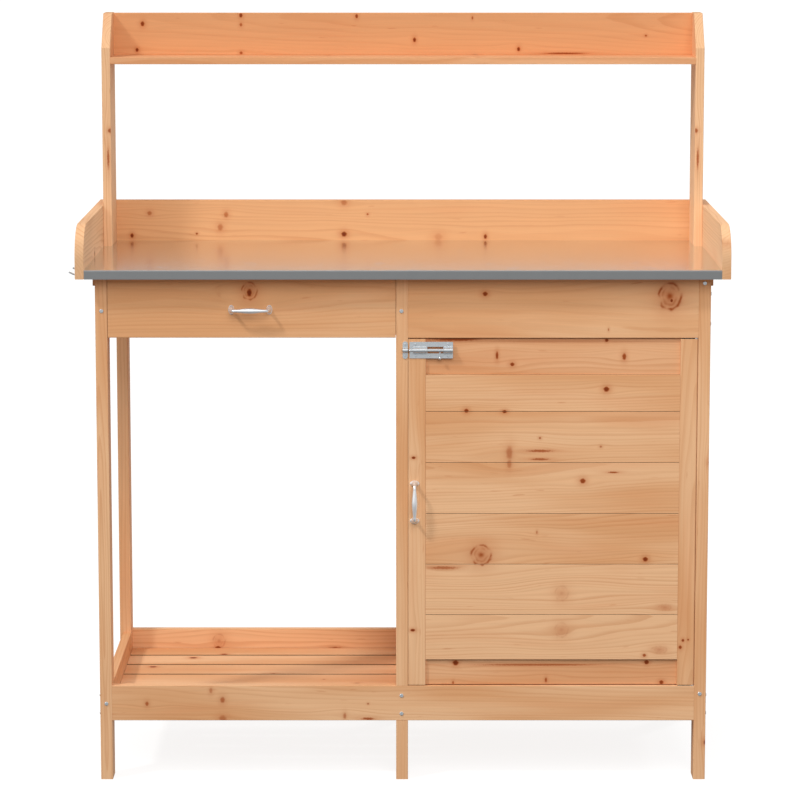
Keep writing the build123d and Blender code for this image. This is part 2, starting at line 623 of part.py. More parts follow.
def strap(left, right, base_y, bore_r, flange_h):
    """A half-round strap over the rod, with a flat flange each side of it."""
    outer_r = bore_r + GUIDE_WALL
    with BuildSketch(Plane(origin=(left, 0, 0), x_dir=(0, 1, 0), z_dir=(1, 0, 0))) as profile:
        with BuildLine():
            CenterArc((ROD_Y, BOLT_Z), outer_r, 90, 180)
            Polyline((ROD_Y, BOLT_Z - outer_r), (base_y - GUIDE_WALL, BOLT_Z - outer_r),
                     (base_y - GUIDE_WALL, BOLT_Z - flange_h), (base_y, BOLT_Z - flange_h),
                     (base_y, BOLT_Z - bore_r), (ROD_Y, BOLT_Z - bore_r))
            CenterArc((ROD_Y, BOLT_Z), bore_r, 90, 180)
            Polyline((ROD_Y, BOLT_Z + bore_r), (base_y, BOLT_Z + bore_r),
                     (base_y, BOLT_Z + flange_h), (base_y - GUIDE_WALL, BOLT_Z + flange_h),
                     (base_y - GUIDE_WALL, BOLT_Z + outer_r), (ROD_Y, BOLT_Z + outer_r))
        make_face()
    extrude(profile.sketch, amount=right - left)


with BuildPart() as bolt_guides:
    for left, right in GUIDE_SPANS:
        strap(left, right, FRONT_Y - PLATE_T, GUIDE_R, GUIDE_FLANGE)
    for end in (0, -1):
        fillet(bolt_guides.edges().filter_by(Axis.X).group_by(Axis.Z)[end].group_by(Axis.Y)[0], GUIDE_ROUND)
save(bolt_guides, "bolt_guides")

with BuildPart() as bolt_keeper:
    strap(KEEPER_LEFT, KEEPER_RIGHT, FRONT_Y, ROD_R + KEEPER_GAP, KEEPER_FLANGE)
    for end in (0, -1):
        fillet(bolt_keeper.edges().filter_by(Axis.Y).group_by(Axis.Z)[end], KEEPER_ROUND)
save(bolt_keeper, "bolt_keeper")

ROD_TIP = DOOR_LEFT + 0.4             # drawn back clear of the keeper
ROD_L = 58.5
ROD_TIP_ROUND = 1.2
ROD_END_CHAMFER = 0.4
KNOB_X = ROD_TIP + 52.0
KNOB_DROP = 13.2                      # the ball's middle below the rod's axis
KNOB_STEM_R = 1.3
KNOB_BALL_R = 2.6
KNOB_TOP = BOLT_Z - ROD_R - RUNNING_FIT
KNOB_BALL = BOLT_Z - KNOB_DROP
KNOB_NECK = KNOB_BALL + (KNOB_BALL_R ** 2 - KNOB_STEM_R ** 2) ** 0.5

with BuildPart() as bolt_rod:
    with BuildSketch(Plane(origin=(ROD_TIP, ROD_Y, BOLT_Z), z_dir=(1, 0, 0))):
        Circle(ROD_R)
    extrude(amount=ROD_L)
    fillet(bolt_rod.faces().sort_by(Axis.X)[0].edges(), ROD_TIP_ROUND)
    chamfer(bolt_rod.faces().sort_by(Axis.X)[-1].edges(), ROD_END_CHAMFER)
save(bolt_rod, "bolt_rod")

with BuildPart() as bolt_knob:
    with BuildSketch(Plane(origin=(KNOB_X, ROD_Y, 0), x_dir=(1, 0, 0), z_dir=(0, -1, 0))):
        with BuildLine():
            Polyline((0, KNOB_TOP), (KNOB_STEM_R, KNOB_TOP), (KNOB_STEM_R, KNOB_NECK))
            ThreePointArc((KNOB_STEM_R, KNOB_NECK), (KNOB_BALL_R, KNOB_BALL), (0, KNOB_BALL - KNOB_BALL_R))
            Line((0, KNOB_BALL - KNOB_BALL_R), (0, KNOB_TOP))
        make_face()
    revolve(axis=Axis((KNOB_X, ROD_Y, 0), (0, 0, 1)))
save(bolt_knob, "bolt_knob")

PLATE_SCREWS = (21.0, 75.0)
plate_seats = facing((0, -1, 0), *[(x, FRONT_Y - PLATE_T, BOLT_Z + dz)
                                   for x in PLATE_SCREWS for dz in (-BOLT_SCREW_DZ, BOLT_SCREW_DZ)])
pull_seats = facing((0, 1, 0), *[(DOOR_HANDLE_X, RAIL_FRONT_BACK, DOOR_HANDLE_Z + way * HANDLE_FOOT)
                                 for way in (-1, 1)])
screw_set("door_screws", (plate_seats, SMALL_SCREW), (pull_seats, HANDLE_SCREW))


# ---------------------------------------------------------------- drawer
BOX_LEFT = -LEG_IN + 3.0
BOX_RIGHT = MID_LEFT - 3.0
BOX_LOW = 758.0
BOX_TOP = BATTEN_LOW - 3.0
BOX_BACK = RAIL_FRONT_BACK + DRAWER_DEPTH

boards("drawer_front", Axis.X,
       ((DRAWER_LEFT, FRONT_Y, DRAWER_LOW), (DRAWER_RIGHT, RAIL_FRONT_BACK, DRAWER_TOP)))
boards("drawer_side_left", Axis.Y,
       ((BOX_LEFT, RAIL_FRONT_BACK, BOX_LOW), (BOX_LEFT + DRAWER_SIDE_T, BOX_BACK, BOX_TOP)))
boards("drawer_side_right", Axis.Y,
       ((BOX_RIGHT - DRAWER_SIDE_T, RAIL_FRONT_BACK, BOX_LOW), (BOX_RIGHT, BOX_BACK, BOX_TOP)))
inner_left = BOX_LEFT + DRAWER_SIDE_T
inner_right = BOX_RIGHT - DRAWER_SIDE_T
boards("drawer_back", Axis.X,
       ((inner_left, BOX_BACK - DRAWER_SIDE_T, BOX_LOW), (inner_right, BOX_BACK, BOX_TOP)))
bottom_low = BOX_LOW + BOTTOM_UP
boards("drawer_bottom", Axis.X,
       ((inner_left, RAIL_FRONT_BACK, bottom_low),
        (inner_right, BOX_BACK - DRAWER_SIDE_T, bottom_low + BOTTOM_T)),
       radius=THIN_R)
handle_seats = facing((0, 1, 0), *[(DRAWER_HANDLE_X + way * HANDLE_FOOT, RAIL_FRONT_BACK, DRAWER_HANDLE_Z)
                                   for way in (-1, 1)])
box_seats = [seat for way, x in ((-1, BOX_LEFT), (1, BOX_RIGHT))
             for seat in facing((way, 0, 0), *[(x, BOX_BACK - DRAWER_SIDE_T / 2, z)
                                               for z in (BOX_LOW + BOX_SCREW_IN, BOX_TOP - BOX_SCREW_IN)])]
screw_set("drawer_screws", (handle_seats + box_seats, HANDLE_SCREW))

RUNNER_W = 25.0
RUNNER_FRONT = FRONT_Y + 70.0
boards("drawer_runners", Axis.Y,
       *[((left, RUNNER_FRONT, HIGH_RAIL_LOW), (left + RUNNER_W, LEG_BACK_FRONT, BOX_LOW - FREE))
         for left in (-LEG_IN, MID_LEFT - RUNNER_W)])
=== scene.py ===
import math
import random

import bpy
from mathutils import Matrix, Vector


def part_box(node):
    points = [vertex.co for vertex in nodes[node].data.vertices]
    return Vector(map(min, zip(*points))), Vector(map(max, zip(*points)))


# The looks of the potting bench: fir boards, a galvanised worktop, zinc and chrome
# hardware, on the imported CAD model. Metres; X runs along the front, Y to the wall, Z up.

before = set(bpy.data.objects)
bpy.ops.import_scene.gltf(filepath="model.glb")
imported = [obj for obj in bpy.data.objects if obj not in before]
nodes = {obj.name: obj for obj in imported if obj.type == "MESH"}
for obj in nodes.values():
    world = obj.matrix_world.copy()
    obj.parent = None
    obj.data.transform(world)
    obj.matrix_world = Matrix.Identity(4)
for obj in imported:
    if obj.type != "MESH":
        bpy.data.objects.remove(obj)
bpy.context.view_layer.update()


# ---------------------------------------------------------------- node helpers
class Graph:
    """Adds shader nodes to a tree, so that a material reads like a formula."""

    def __init__(self, tree):
        self.tree = tree

    def feed(self, socket, value):
        """Link a socket to another, or set its value; None leaves it alone."""
        if isinstance(value, bpy.types.NodeSocket):
            self.tree.links.new(value, socket)
        elif value is not None:
            socket.default_value = value

    def node(self, kind, *inputs, **settings):
        """A new node, its inputs given in the node's own order."""
        made = self.tree.nodes.new(kind)
        for name, value in settings.items():
            setattr(made, name, value)
        for socket, value in zip(made.inputs, inputs):
            self.feed(socket, value)
        return made

    def math(self, operation, *values):
        return self.node("ShaderNodeMath", *values, operation=operation).outputs[0]

    def add(self, a, b):
        return self.math("ADD", a, b)

    def subtract(self, a, b):
        return self.math("SUBTRACT", a, b)

    def times(self, a, b):
        return self.math("MULTIPLY", a, b)

    def divide(self, a, b):
        return self.math("DIVIDE", a, b)

    def smaller(self, a, b):
        return self.math("MINIMUM", a, b)

    def larger(self, a, b):
        return self.math("MAXIMUM", a, b)

    def length(self, a, b):
        """How far it is to a point a one way and b across it."""
        return self.math("SQRT", self.add(self.times(a, a), self.times(b, b)))

    def centred(self, value):
        """A value between 0 and 1 as one about 0."""
        return self.subtract(value, 0.5)

    def total(self, first, *rest):
        """The sum of several values."""
        for value in rest:
            first = self.add(first, value)
        return first

    def smooth(self, value, start, end):
        """0 at the start and 1 at the end, with a soft step between; either may be the larger."""
        made = self.node("ShaderNodeMapRange", value, start, end, interpolation_type="SMOOTHSTEP")
        return made.outputs[0]

    def point(self, x, y, z):
        return self.node("ShaderNodeCombineXYZ", x, y, z).outputs[0]

    def add_vectors(self, a, b):
        return self.node("ShaderNodeVectorMath", a, b, operation="ADD").outputs[0]

    def split(self, vector):
        return self.node("ShaderNodeSeparateXYZ", vector).outputs

    def noise(self, vector, detail=2.0, scale=1.0):
        """Noise between 0 and 1, one unit of the vector to a feature."""
        made = self.node("ShaderNodeTexNoise")
        self.feed(made.inputs["Vector"], vector)
        made.inputs["Scale"].default_value = scale
        made.inputs["Detail"].default_value = detail
        return made.outputs[0]

    def hashed(self, value):
        """Three random numbers that stay the same for one value."""
        made = self.node("ShaderNodeTexWhiteNoise", noise_dimensions="1D")
        self.feed(made.inputs["W"], value)
        return self.node("ShaderNodeSeparateColor", made.outputs["Color"]).outputs

    def cells(self, vector, dimensions, scale):
        """Voronoi cells, each with a place and a random colour."""
        made = self.node("ShaderNodeTexVoronoi", voronoi_dimensions=dimensions)
        self.feed(made.inputs["Vector"], vector)
        made.inputs["Scale"].default_value = scale
        return made.outputs

    def mix(self, factor, a, b):
        """Colour a at factor 0 and b at factor 1."""
        made = self.node("ShaderNodeMix", data_type="RGBA")
        self.feed(made.inputs[0], factor)
        self.feed(made.inputs[6], a)
        self.feed(made.inputs[7], b)
        return made.outputs[2]

    def shaded(self, paint, value):
        """A colour made lighter or darker by a value."""
        made = self.node("ShaderNodeVectorMath", operation="SCALE")
        self.feed(made.inputs[0], paint[:3] if isinstance(paint, tuple) else paint)
        self.feed(made.inputs["Scale"], value)
        return made.outputs[0]


def colour(red, green, blue):
    """A screen colour, 0 to 255, as linear light."""
    def linear(part):
        part = part / 255
        return part / 12.92 if part <= 0.04045 else ((part + 0.055) / 1.055) ** 2.4
    return (linear(red), linear(green), linear(blue), 1.0)


def new_group(name, inputs, outputs):
    """A node group with number inputs; its outputs are name and socket type pairs."""
    tree = bpy.data.node_groups.new(name, "ShaderNodeTree")
    for label in inputs:
        tree.interface.new_socket(name=label, in_out="INPUT", socket_type="NodeSocketFloat")
    for label, kind in outputs:
        tree.interface.new_socket(name=label, in_out="OUTPUT", socket_type=kind)
    graph = Graph(tree)
    return graph, graph.node("NodeGroupInput").outputs, graph.node("NodeGroupOutput")


def use_group(graph, group, **inputs):
    """An instance of a node group, its inputs given by name with _ for a space."""
    made = graph.node("ShaderNodeGroup", node_tree=group)
    for name, value in inputs.items():
        graph.feed(made.inputs[name.replace("_", " ")], value)
    return made.outputs


# ---------------------------------------------------------------- fir
PALE = colour(240, 191, 146)
WARM = colour(226, 167, 118)
RED = colour(224, 152, 104)
LATE = colour(192, 112, 54)
HALO = colour(192, 104, 54)
DEEP = colour(180, 88, 38)
HEART = colour(116, 46, 16)
RING = 0.0050                         # one year's growth
WANDER, RIPPLE = 0.020, 0.0016        # how far a ring strays, slowly and in short waves
LATE_START, LATE_END = (0.38, 0.90), (1.0, 0.93)    # of the late wood, as shares of a ring
LATE_STRENGTH, PALE_LATE_MORE = 0.29, 0.04
FLUSH_STRENGTH = 0.30                 # of reddish patches
HALO_STRENGTH = 0.62
HEART_SPREAD, HEART_STRENGTH = 1.5, 0.95
# End grain is darker; the narrow edges of boards are darkened as painted shade in the gaps between them.
END_DARKER, EDGE_SHADE_DARKER = 0.12, 0.6
WOOD_ROUGHNESS = 0.56
SPECULAR = 0.15
FIBRES = (7.0, 620.0)                 # to the metre, along and across the grain
RELIEF = 0.0003                       # depth of the fibres
RELIEF_STRENGTH = 0.5
TURNED = (0.6, 0.95)                  # how far the normal leans along an axis to face it
PALE_BOARDS = 1.5                     # how pale the pale boards of a stack are

GROWN = ("Shift", "Heart", "Halo")    # a knot bends the grain, darkens it and reddens it
GROWN_SOCKETS = [(name, "NodeSocketFloat") for name in GROWN]
PLAIN_KNOT = (1.15, 0.0)              # stretch and ringed, where a knot does not give them

# Lengths in a knot are in its own radii.
RAGGED, RINGED_LESS_RAGGED = 0.9, 0.3
SOLID_EDGE = (1.20, 0.40)             # where a solid heart fades in
OUTER_RIM, OUTER_DARK = 1.0, 0.95     # the two dark rings of a ringed knot
INNER_RIM, INNER_DARK = 0.62, 0.45
RIM_WIDTH, CORE_WIDTH = 0.13, 0.30
HALO_WIDTH, RINGED_LESS_HALO = 1.75, 0.30
FILL_EDGE, MOST_FILL = (1.15, 0.85), 0.75
FLOW_STRETCH, FLOW_WIDTH = 3.4, 2.3   # the bend in the grain, which is longer than wide
FLOW = -0.93                          # share of the way from the knot that the grain bends

SCATTER_CELL = (0.24, 0.055)          # one chance of a small knot in each; metres
SCATTER_RADIUS, SCATTER_STRETCH = 0.009, 1.2


def make_knot_group():
    """One knot: the grain flows round it, with a dark heart and a reddish halo.
    Du and Dv are the way from the knot; what other knots gave comes in and goes on.
    Stretch is its length over its width, and Ringed makes it a pale one with dark rings."""
    names = ("Du", "Dv", "Radius", "Dark", "Stretch", "Ringed") + GROWN
    g, given, out = new_group("Knot", names, GROWN_SOCKETS)
    du, dv, radius, dark, stretch, ringed = given[:6]
    size = g.larger(radius, 0.00001)
    shape = g.point(g.times(g.divide(du, size), 0.9), g.times(g.divide(dv, size), 0.9), radius)
    stray = g.centred(g.noise(g.add_vectors(shape, (0.0, 0.0, 3.0)), 3.0))
    ragged = g.times(stray, g.subtract(RAGGED, g.times(ringed, RINGED_LESS_RAGGED)))
    broken = g.smooth(g.noise(shape, 2.0), 0.36, 0.60)

    def reach(longer):
        """Distance from the knot in its own radii, longer along the grain."""
        return g.divide(g.length(g.divide(du, longer), dv), size)

    def bell(distance, width):
        """1 where the distance is 0, falling away over a width."""
        part = g.divide(distance, width)
        return g.math("EXPONENT", g.times(g.times(part, part), -1.0))

    near = g.add(reach(stretch), ragged)
    solid = g.smooth(near, *SOLID_EDGE)
    outer = g.times(bell(g.subtract(near, OUTER_RIM), RIM_WIDTH), g.times(broken, OUTER_DARK))
    inner = g.times(bell(g.subtract(near, INNER_RIM), RIM_WIDTH), g.times(broken, INNER_DARK))
    rim = g.total(outer, inner, bell(near, CORE_WIDTH))
    heart = g.times(g.add(g.times(solid, g.subtract(1.0, ringed)), g.times(rim, ringed)), dark)
    halo_width = g.subtract(HALO_WIDTH, g.times(ringed, RINGED_LESS_HALO))
    halo = g.times(bell(near, halo_width), g.total(0.30, g.times(dark, 0.70), g.times(ringed, 0.10)))
    flow = g.times(g.times(dv, bell(reach(FLOW_STRETCH), FLOW_WIDTH)), FLOW)
    g.feed(out.inputs["Shift"], g.add(given[6], flow))
    g.feed(out.inputs["Heart"], g.larger(given[7], g.smaller(heart, 1.0)))
    filled = g.times(g.times(ringed, g.smooth(near, *FILL_EDGE)), g.smaller(dark, MOST_FILL))
    g.feed(out.inputs["Halo"], g.larger(given[8], g.larger(halo, filled)))
    return g.tree


def make_scatter_group(knot_group):
    """Small knots strewn over boards, a few to the metre."""
    g, given, out = new_group("Scattered knots", ("Along", "Across", "Board", "Amount"), GROWN_SOCKETS)
    along, across, board, amount = given[:4]
    cell_u, cell_v = SCATTER_CELL
    u = g.add(g.divide(along, cell_u), g.times(board, 3.7))
    v = g.add(g.divide(across, cell_v), g.times(board, 5.3))
    cells = g.cells(g.point(u, v, 0.0), "2D", 1.0)
    place = g.split(cells["Position"])
    chance = g.node("ShaderNodeSeparateColor", cells["Color"]).outputs
    grown = g.larger(g.subtract(g.add(chance[0], amount), 1.0), 0.0)
    knot = use_group(g, knot_group,
                     Du=g.times(g.subtract(u, place[0]), cell_u),
                     Dv=g.times(g.subtract(v, place[1]), cell_v),
                     Radius=g.times(g.math("SQRT", grown), SCATTER_RADIUS),
                     Stretch=SCATTER_STRETCH,
                     Dark=g.add(0.45, g.times(chance[1], 0.5)))
    for name in GROWN:
        g.feed(out.inputs[name], knot[name])
    return g.tree


def make_fir_group():
    """Planed fir: growth rings about a pith behind the board, which wander along it."""
    names = ("Along", "Across", "Depth", "Board", "Seed", "Ring", "Pith across", "Pith depth",
             "Tilt", "Shift", "Heart", "Halo", "Redness", "Pale", "End", "Sawn")
    outs = [("Color", "NodeSocketColor"), ("Roughness", "NodeSocketFloat"), ("Height", "NodeSocketFloat")]
    g, given, out = new_group("Fir", names, outs)
    take = {name: given[name] for name in names}
    u, depth = take["Along"], take["Depth"]
    seed = g.add(take["Seed"], g.times(take["Board"], 11.3))
    v = g.add(take["Across"], take["Shift"])
    lot = g.hashed(seed)

    def patches(along, across):
        """Soft patches, so many to the metre along and across the grain."""
        aside = g.add(g.times(v, across), seed)
        return g.noise(g.point(g.times(u, along), aside, g.times(depth, across)), 2.0)

    def lines(along, across, detail, aside):
        """Fine lines, so many to the metre along and across the grain."""
        inward = g.add(g.times(depth, across), seed)
        return g.noise(g.point(g.times(u, along), g.times(aside, across), inward), detail)

    slow = g.centred(patches(2.2, 9.0))
    ripple = g.centred(patches(14.0, 90.0))
    board_side = g.times(g.centred(lot[0]), 0.03)
    lean = g.times(g.add(take["Tilt"], g.times(g.centred(lot[1]), 0.03)), u)
    side = g.subtract(v, g.total(take["Pith across"], board_side, g.times(lean, 0.4)))
    behind = g.add(depth, g.add(take["Pith depth"], lean))
    wavy = g.total(g.length(side, behind), g.times(slow, WANDER), g.times(ripple, RIPPLE))
    years = g.divide(wavy, take["Ring"])
    uneven = g.add(years, g.times(g.noise(g.point(g.times(years, 0.45), seed, 0.0), 1.0), 1.6))
    part = g.math("FRACT", uneven)
    year = g.hashed(g.add(g.math("FLOOR", uneven), seed))
    late = g.times(g.smooth(part, *LATE_START), g.smooth(part, *LATE_END))
    late = g.times(late, g.add(0.25, g.times(year[0], 0.75)))
    grain = g.times(late, g.subtract(1.0, g.times(take["End"], 0.4)))

    tone = patches(2.6, 16.0)
    flush = g.noise(g.point(g.times(u, 3.4), g.add(g.times(v, 24.0), g.add(seed, 40.0)), depth), 3.0)
    fibre = lines(*FIBRES, 3.0, v)
    streak = lines(5.0, 170.0, 2.0, v)
    fleck = lines(26.0, 240.0, 1.0, v)
    ticks = g.times(g.smooth(fleck, 0.72, 0.82), 0.35)

    warm = g.total(tone, g.times(g.centred(lot[2]), 0.14), g.times(take["Pale"], -0.3))
    wood = g.mix(g.smooth(warm, 0.3, 0.7), PALE, WARM)
    reddened = g.add(take["Redness"], g.times(g.smooth(flush, 0.50, 0.78), FLUSH_STRENGTH))
    wood = g.mix(g.smaller(reddened, 1.0), wood, RED)
    late_strength = g.add(LATE_STRENGTH, g.times(take["Pale"], PALE_LATE_MORE))
    wood = g.mix(g.times(grain, late_strength), wood, LATE)
    wood = g.mix(ticks, wood, HALO)
    wood = g.mix(g.times(take["Halo"], HALO_STRENGTH), wood, HALO)
    wood = g.mix(g.smaller(g.times(take["Heart"], HEART_SPREAD), HEART_STRENGTH), wood, DEEP)
    wood = g.mix(g.times(g.times(take["Heart"], take["Heart"]), HEART_STRENGTH), wood, HEART)
    shade = g.total(g.times(fibre, 0.12), g.times(streak, 0.10), 0.89)
    end_light = g.subtract(1.0, g.times(take["End"], END_DARKER))
    # Painted shade: Sawn darkens the narrow edges of boards, on top of the real darker end grain.
    end_and_edge_shade = g.times(end_light, g.subtract(1.0, g.times(take["Sawn"], EDGE_SHADE_DARKER)))
    wood = g.shaded(wood, g.times(shade, end_and_edge_shade))
    g.feed(out.inputs["Color"], wood)
    matt = g.total(WOOD_ROUGHNESS, g.times(fibre, 0.14), g.times(grain, -0.07),
                   g.times(take["Heart"], -0.12), g.times(take["End"], 0.2))
    g.feed(out.inputs["Roughness"], matt)
    g.feed(out.inputs["Height"], lines(*FIBRES, 3.0, take["Across"]))
    return g.tree


KNOT = make_knot_group()
SCATTER = make_scatter_group(KNOT)
FIR = make_fir_group()


def new_material(name):
    """A material with one Principled surface, and the graph that makes it."""
    material = bpy.data.materials.new(name)
    material.use_nodes = True
    graph = Graph(material.node_tree)
    surface = material.node_tree.nodes["Principled BSDF"]
    return material, graph, surface


def bumped(graph, surface, height):
    """Give a surface a fine relief."""
    bump = graph.node("ShaderNodeBump")
    bump.inputs["Strength"].default_value = RELIEF_STRENGTH
    bump.inputs["Distance"].default_value = RELIEF
    graph.feed(bump.inputs["Height"], height)
    graph.feed(surface.inputs["Normal"], bump.outputs["Normal"])


def dress(node, material):
    """Put one material on a CAD node."""
    mesh = nodes[node].data
    mesh.materials.clear()
    mesh.materials.append(material)


def fir(node, along=None, across=None, stack=None, knots=(), scatter=0.5, red=0.0, ring=RING,
        pith=None, tilt=None, pale=0.0, pale_boards=0, shade_edges=False):
    """Dress a node in fir. along and across are axes, 0 to 2; without them they are the
    node's longest and middle side. stack is (first board's low edge, pitch) across the grain.
    knots are (along, across, radius, darkness) or with (stretch, ringed) after them, the
    places as shares of the node's box. pale is for the whole node, pale_boards for the first
    few of a stack, and shade_edges paints shade on the narrow edges of boards, in their gaps."""
    low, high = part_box(node)
    size = high - low
    order = sorted(range(3), key=lambda axis: -size[axis])
    along = order[0] if along is None else along
    across = next(axis for axis in order if axis != along) if across is None else across
    through = 3 - along - across
    draw = random.Random(node)
    seed = draw.uniform(0.0, 60.0)
    half = stack[1] / 2 if stack else size[across] / 2
    pith = pith or (draw.choice((-1, 1)) * (half + draw.uniform(0.0, 0.02)), draw.uniform(0.02, 0.06))
    tilt = draw.uniform(-0.02, 0.02) if tilt is None else tilt

    material, g, surface = new_material("fir_" + node)
    place = g.node("ShaderNodeTexCoord").outputs
    spot = g.split(place["Object"])
    facing = g.split(place["Normal"])
    middle = (low + high) / 2
    u = g.subtract(spot[along], middle[along])
    depth = g.subtract(spot[through], middle[through])
    if stack:
        first, pitch = stack
        board = g.math("FLOOR", g.divide(g.subtract(spot[across], first), pitch))
        board_middle = g.add(first + pitch / 2, g.times(board, pitch))
        v = g.subtract(spot[across], board_middle)
    else:
        board = 0.0
        v = g.subtract(spot[across], middle[across])
    strewn = use_group(g, SCATTER, Along=u, Across=v, Board=g.add(board, seed), Amount=scatter)
    grown = dict(zip(GROWN, strewn))
    for share_u, share_v, radius, dark, *shape in knots:
        stretch, ringed = shape or PLAIN_KNOT
        knot_u = low[along] + share_u * size[along]
        knot_v = low[across] + share_v * size[across]
        knot = use_group(g, KNOT, Du=g.subtract(spot[along], knot_u),
                         Dv=g.subtract(spot[across], knot_v),
                         Radius=radius, Dark=dark, Stretch=stretch, Ringed=ringed, **grown)
        grown = dict(zip(GROWN, knot))
    broad = g.smooth(g.math("ABSOLUTE", facing[across]), 0.95, 0.5)
    for mark in ("Heart", "Halo"):
        grown[mark] = g.times(grown[mark], broad)
    end = g.smooth(g.math("ABSOLUTE", facing[along]), *TURNED)
    # Painted shade on the narrow edges of boards, so the gaps and ledges between them look dark.
    edge = g.smooth(g.math("ABSOLUTE", facing[across]), *TURNED) if shade_edges else 0.0
    if pale_boards:
        pale = g.times(g.math("LESS_THAN", board, pale_boards - 0.5), PALE_BOARDS)
    wood = use_group(g, FIR, Along=u, Across=v, Depth=depth, Board=board, Seed=seed, Ring=ring,
                     Pith_across=pith[0], Pith_depth=pith[1], Tilt=tilt, Redness=red, Pale=pale,
                     End=end, Sawn=edge, **grown)
    g.feed(surface.inputs["Base Color"], wood["Color"])
    g.feed(surface.inputs["Roughness"], wood["Roughness"])
    surface.inputs["Specular IOR Level"].default_value = SPECULAR
    bumped(g, surface, wood["Height"])
    dress(node, material)


X, Y, Z = 0, 1, 2

# The drawer front and fascia are made darker (pale below 0) as painted shade from the worktop's overhang.
fir("drawer_front", scatter=0.0, pale=-0.5, pith=(0.030, 0.050), tilt=0.012,
    knots=[(0.493, 0.80, 0.0140, 0.50, 0.9, 1.0), (0.493, 0.77, 0.0070, 1.00, 0.65, 0.0)])
fir("fascia", scatter=0.0, pale=-0.6, pith=(-0.035, 0.060), tilt=-0.012,
    knots=[(0.900, 0.69, 0.0215, 0.66, 0.85, 1.0), (0.906, 0.62, 0.0032, 0.95, 0.8, 0.0),
           (0.265, 0.73, 0.0040, 0.90), (0.69, 0.14, 0.0026, 0.40, 0.5, 0.0)])
# The top rail is made redder and darker, partly as painted shade under the fascia.
fir("door_top_rail", scatter=0.0, red=0.35, ring=0.0040, tilt=0.004,
    knots=[(0.28, 0.61, 0.0070, 0.75, 0.35, 0.0), (0.34, 0.40, 0.0034, 0.85),
           (0.78, 0.58, 0.0060, 0.70, 0.6, 0.0), (0.71, 0.96, 0.0030, 0.95),
           (0.12, 0.98, 0.0030, 0.60, 14.0, 0.0), (0.55, 0.94, 0.0024, 0.16, 60.0, 0.0)])

planks_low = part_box("door_planks")[0]
PLANK_PITCH = 0.0862
LOWEST_PLANK_CUT = 0.0095             # the lowest plank is this much narrower
# The planks' edges get painted shade, which darkens their joints and the ledge under the top rail.
fir("door_planks", along=X, across=Z, scatter=0.0, ring=0.0044,
    stack=(planks_low.z - LOWEST_PLANK_CUT, PLANK_PITCH), pale_boards=2, shade_edges=True,
    knots=[(0.71, 0.95, 0.0046, 0.95), (0.16, 0.875, 0.0036, 0.90), (0.31, 0.872, 0.0028, 0.95, 1.6, 0.0),
           (0.45, 0.78, 0.0020, 0.50), (0.33, 0.728, 0.0120, 0.34, 0.50, 0.0),
           (0.33, 0.690, 0.0080, 0.30, 0.55, 0.0), (0.45, 0.735, 0.0026, 0.52, 9.0, 0.0),
           (0.45, 0.706, 0.0022, 0.52, 8.0, 0.0), (0.69, 0.75, 0.0020, 0.40), (0.62, 0.63, 0.0046, 0.80),
           (0.74, 0.66, 0.0016, 0.60, 6.0, 0.0), (0.44, 0.45, 0.0030, 0.35, 0.5, 0.0),
           (0.22, 0.37, 0.0165, 0.58, 1.0, 1.0), (0.87, 0.355, 0.0042, 0.95),
           (0.07, 0.325, 0.0030, 0.42, 9.0, 0.0), (0.54, 0.235, 0.0120, 0.12, 0.9, 1.0),
           (0.54, 0.105, 0.0120, 0.12, 0.9, 1.0), (0.95, 0.185, 0.0050, 0.20, 2.0, 0.6),
           (0.93, 0.035, 0.0060, 0.22, 2.0, 0.6), (0.87, 0.015, 0.0030, 0.60)])
fir("door_bottom_rail", scatter=0.0, red=0.30,
    knots=[(0.12, 0.66, 0.0048, 0.95), (0.88, 0.68, 0.0040, 0.90), (0.48, 0.13, 0.0044, 0.60, 0.5, 0.0),
           (0.94, 0.06, 0.0036, 0.85), (0.11, 0.05, 0.0030, 0.50, 0.6, 0.0),
           (0.45, 0.60, 0.0018, 0.50, 60.0, 0.0)])
fir("door_stile_left", scatter=0.0, across=X,
    knots=[(0.66, 0.20, 0.0034, 0.95, 0.7, 0.0), (0.16, 0.17, 0.0042, 0.95, 0.6, 0.0)])
fir("door_stile_right", scatter=0.0, across=X,
    knots=[(0.13, 0.56, 0.0024, 0.85), (0.132, 0.76, 0.0015, 0.85), (0.11, 0.46, 0.0030, 0.75)])
fir("lower_front_rail", scatter=0.0, pith=(0.045, 0.070), tilt=-0.01,
    knots=[(0.06, 0.48, 0.0042, 0.50, 0.8, 0.0), (0.19, 0.59, 0.0056, 0.45, 0.8, 0.0),
           (0.17, 0.86, 0.0050, 0.30, 0.6, 0.0), (0.19, 0.05, 0.0064, 0.35),
           (0.40, 0.13, 0.0056, 0.35, 0.5, 0.0), (0.44, 0.48, 0.0014, 0.60),
           (0.44, 0.05, 0.0024, 0.55, 5.0, 0.0)])
fir("lower_back_rail", scatter=0.0, pale=0.8, pith=(-0.040, 0.060),
    knots=[(0.16, 0.63, 0.0120, 0.22, 0.9, 1.0), (0.158, 0.42, 0.0036, 0.80, 1.6, 0.0),
           (0.375, 0.38, 0.0046, 0.60, 2.6, 0.0)])
fir("back_board", scatter=0.0, pale=-0.8, pith=(-0.045, 0.070), tilt=0.01,
    knots=[(0.07, 0.73, 0.0042, 0.40), (0.20, 0.70, 0.0056, 0.40, 0.8, 0.0),
           (0.19, 0.44, 0.0068, 0.34, 0.8, 0.0), (0.15, 0.31, 0.0018, 0.85),
           (0.04, 0.27, 0.0042, 1.00, 0.8, 0.0), (0.40, 0.30, 0.0048, 1.00),
           (0.44, 0.71, 0.0018, 0.70), (0.40, 0.95, 0.0056, 0.34), (0.64, 0.25, 0.0044, 0.95, 0.7, 0.0),
           (0.56, 0.24, 0.0070, 0.16)])
